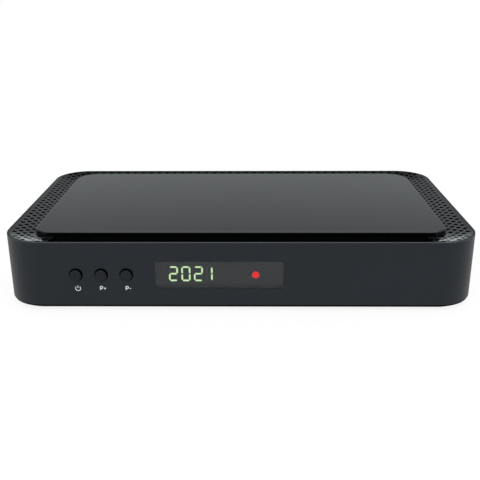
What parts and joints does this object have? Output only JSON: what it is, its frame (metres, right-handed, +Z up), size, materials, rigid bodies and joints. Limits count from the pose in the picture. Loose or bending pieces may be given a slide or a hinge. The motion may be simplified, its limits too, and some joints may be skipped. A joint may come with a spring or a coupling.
{
  "type": "satellite tv receiver",
  "caption": "Slim rounded receiver box with a perforated top rim, a raised top panel, push buttons, a smoked clock window and rear sockets.",
  "frame": {"origin": "middle of the whole footprint, buttons and rear connectors included, on the surface that the feet stand on", "axes": "+X to the right seen from the front, +Y from the front panel to the rear sockets, +Z up"},
  "size_m": [0.211, 0.1322, 0.0336],
  "materials": {
    "case_plastic": "satin dark slate moulding",
    "frame_plastic": "satin dark grey moulding",
    "panel_plastic": "satin charcoal sheet with a glossy edge",
    "tray_plastic": "fine-textured black moulding",
    "rear_plastic": "fine-textured black plate",
    "foot_rubber": "matt black rubber",
    "black_steel": "blackened screw steel",
    "zinc_steel": "zinc-plated screw steel",
    "smoked_window": "smoked clear plastic",
    "button_plastic": "satin dark slate moulding",
    "channel_button_plastic": "grained dark slate moulding",
    "switch_plastic": "black switch moulding",
    "board_green": "green solder mask over glass cloth",
    "display_plastic": "black display block",
    "segment_green": "lit light green segments",
    "lamp_red": "lit red lamp",
    "infrared_epoxy": "dark infrared window epoxy",
    "ribbon_grey": "white flat-cable jacket",
    "connector_plastic": "ivory connector moulding",
    "chip_epoxy": "black chip epoxy",
    "sink_aluminium": "extruded aluminium",
    "tinned_steel": "tinned sheet steel",
    "coil_ferrite": "moulded ferrite",
    "capacitor_sleeve": "dark blue shrink sleeve",
    "nickel": "nickel plating",
    "insulator_white": "white insulator",
    "insulator_orange": "orange insulator",
    "tongue_black": "black contact carrier",
    "tongue_white": "white contact carrier",
    "contact_gold": "gold-plated springs",
    "jack_yellow": "yellow socket moulding",
    "inlet_black": "black inlet moulding"
  },
  "bodies": {
    "case": {"base_tray": "tray_plastic", "rubber_feet": "foot_rubber", "case_screws": "black_steel", "upper_case": "case_plastic", "vent_frame": "frame_plastic", "top_panel": "panel_plastic", "rear_panel": "rear_plastic", "display_window": "smoked_window", "switch_housings": "switch_plastic", "front_board": "board_green", "front_board_screws": "zinc_steel", "display_module": "display_plastic", "display_segments": "segment_green", "standby_led": "lamp_red", "led_holder": "switch_plastic", "infrared_receiver": "infrared_epoxy", "ribbon_cable": "ribbon_grey", "ribbon_connectors": "connector_plastic", "main_board": "board_green", "board_screws": "zinc_steel", "processor": "chip_epoxy", "heat_sink": "sink_aluminium", "memory_chips": "chip_epoxy", "power_chips": "chip_epoxy", "crystal": "tinned_steel", "coils": "coil_ferrite", "capacitors": "capacitor_sleeve", "tuner_can": "tinned_steel", "satellite_input": "nickel", "satellite_output": "nickel", "aerial_insulators": "insulator_white", "hdmi_socket": "tinned_steel", "hdmi_tongue": "tongue_black", "usb_socket": "tinned_steel", "usb_tongue": "tongue_white", "network_socket": "tinned_steel", "network_contacts": "contact_gold", "digital_audio_socket": "nickel", "digital_audio_insulator": "insulator_orange", "av_jack": "jack_yellow", "dc_inlet": "inlet_black", "dc_inlet_pin": "nickel"},
    "power": {"power_button": "button_plastic", "power_plunger": "switch_plastic"},
    "channel_up": {"channel_up_button": "channel_button_plastic", "channel_up_plunger": "switch_plastic"},
    "channel_down": {"channel_down_button": "channel_button_plastic", "channel_down_plunger": "switch_plastic"}
  },
  "joints": [
    {"name": "power_press", "type": "slide", "parent": "case", "child": "power", "axis": [0, 1, 0], "range_m": [0, 0.0005], "stiffness_N_per_m": 1000},
    {"name": "channel_up_press", "type": "slide", "parent": "case", "child": "channel_up", "axis": [0, 1, 0], "range_m": [0, 0.0005], "stiffness_N_per_m": 1000},
    {"name": "channel_down_press", "type": "slide", "parent": "case", "child": "channel_down", "axis": [0, 1, 0], "range_m": [0, 0.0005], "stiffness_N_per_m": 1000}
  ]
}
